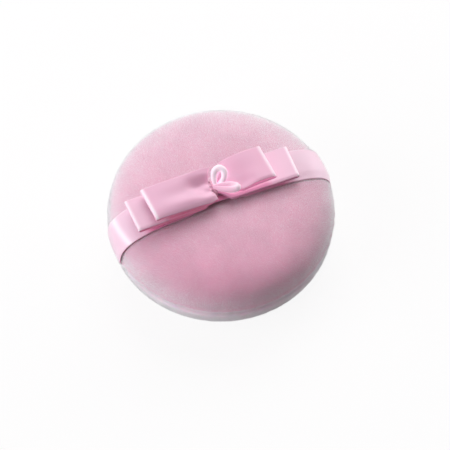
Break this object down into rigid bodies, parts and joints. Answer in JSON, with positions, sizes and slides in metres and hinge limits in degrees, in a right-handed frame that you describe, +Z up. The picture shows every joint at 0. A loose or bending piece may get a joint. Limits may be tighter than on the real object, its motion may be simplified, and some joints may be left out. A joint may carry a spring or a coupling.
{
  "type": "powder puff",
  "caption": "Round soft velour powder puff, its covers sewn together at a grooved rim seam, with a satin finger strap across the crown tied to a flat layered satin bow.",
  "frame": {"origin": "on the surface it rests on, under the middle of the round puff", "axes": "+Z up through the crown, +X along the finger strap"},
  "size_m": [0.0844, 0.0828, 0.0454],
  "materials": {
    "velour_top": "short cut pile, matte with a soft sheen",
    "velour_bottom": "short cut pile, matte with a soft sheen",
    "satin_ribbon": "glossy satin weave",
    "seam_thread": "matte thread",
    "tie_thread": "matte thread",
    "foam": "open cell foam",
    "wadding": "loose fibre"
  },
  "bodies": {
    "puff": {"top_cover": "velour_top", "bottom_cover": "velour_bottom", "foam_disc": "foam", "upper_wadding": "wadding", "lower_wadding": "wadding", "seam_thread": "seam_thread"},
    "strap": {"finger_strap": "satin_ribbon", "gathered_middle": "satin_ribbon", "tie_thread": "tie_thread"},
    "lower_left": {"lower_left_loop": "satin_ribbon"},
    "lower_right": {"lower_right_loop": "satin_ribbon"},
    "upper_left": {"upper_left_loop": "satin_ribbon"},
    "upper_right": {"upper_right_loop": "satin_ribbon"}
  },
  "joints": [
    {"name": "strap_lift", "type": "slide", "parent": "puff", "child": "strap", "axis": [0, 0, 1], "range_m": [0, 0.006], "stiffness_N_per_m": 8, "deforming": ["finger_strap"]},
    {"name": "lower_left_lift", "type": "hinge", "parent": "strap", "child": "lower_left", "pos_m": [-0.0049, 0, 0.038], "axis": [0, 1, 0], "range_deg": [-2, 8], "stiffness_Nm_per_rad": 0.0005},
    {"name": "lower_right_lift", "type": "hinge", "parent": "strap", "child": "lower_right", "pos_m": [-0.0011, 0, 0.038], "axis": [0, -1, 0], "range_deg": [-2, 8], "stiffness_Nm_per_rad": 0.0005},
    {"name": "upper_left_lift", "type": "hinge", "parent": "lower_left", "child": "upper_left", "pos_m": [-0.0049, 0, 0.038], "axis": [0, 1, 0], "range_deg": [-3, 25], "stiffness_Nm_per_rad": 0.0005},
    {"name": "upper_right_lift", "type": "hinge", "parent": "lower_right", "child": "upper_right", "pos_m": [-0.0011, 0, 0.038], "axis": [0, -1, 0], "range_deg": [-3, 25], "stiffness_Nm_per_rad": 0.0005}
  ]
}
